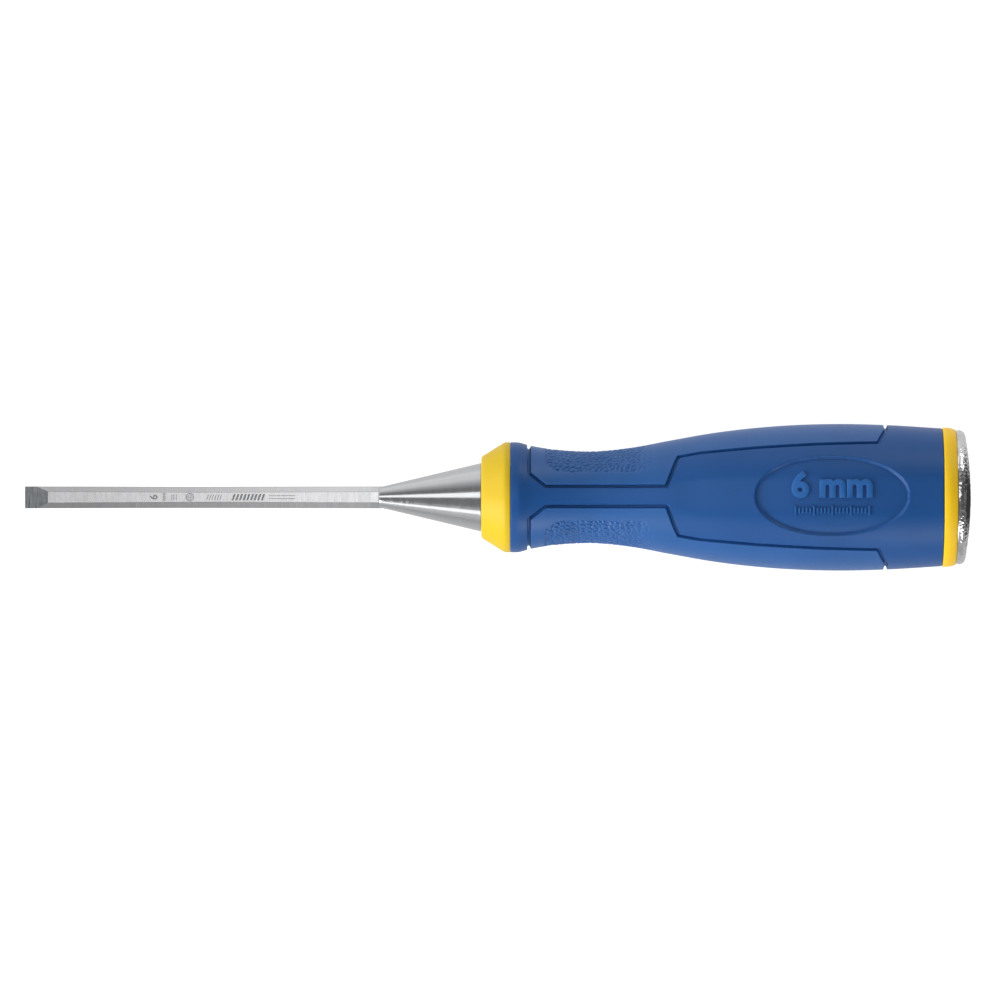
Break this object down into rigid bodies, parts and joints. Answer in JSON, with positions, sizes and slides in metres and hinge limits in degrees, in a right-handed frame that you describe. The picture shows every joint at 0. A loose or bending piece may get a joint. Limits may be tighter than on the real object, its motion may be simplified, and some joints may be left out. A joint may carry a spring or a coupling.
{
  "type": "bench chisel",
  "caption": "Bevel-edge bench chisel: narrow ground blade with a cone bolster, a waisted two-colour moulded handle with grooved side panels, and a domed steel strike cap.",
  "frame": {"origin": "bottom centre of the bounding box: midway between the cutting edge and the strike cap, on the centre plane, level with the lowest point of the grip", "axes": "+X along the tool axis from the cutting edge to the strike cap; +Z out of the bevelled face, so the flat back of the blade faces -Z; +Y to the side panel called left"},
  "size_m": [0.2578, 0.04, 0.0391],
  "materials": {
    "ground_steel": "ground blade, polished bolster",
    "yellow_plastic": "smooth moulded, semi-gloss",
    "blue_plastic": "fine moulded satin",
    "blue_rubber": "satin, pebbled at the front of each panel",
    "plated_steel": "bright plated, dimpled"
  },
  "bodies": {
    "root": {"blade": "ground_steel", "handle_core": "yellow_plastic", "grip_body": "blue_plastic", "side_panel_left": "blue_rubber", "side_panel_right": "blue_rubber", "strike_cap": "plated_steel"}
  },
  "joints": []
}
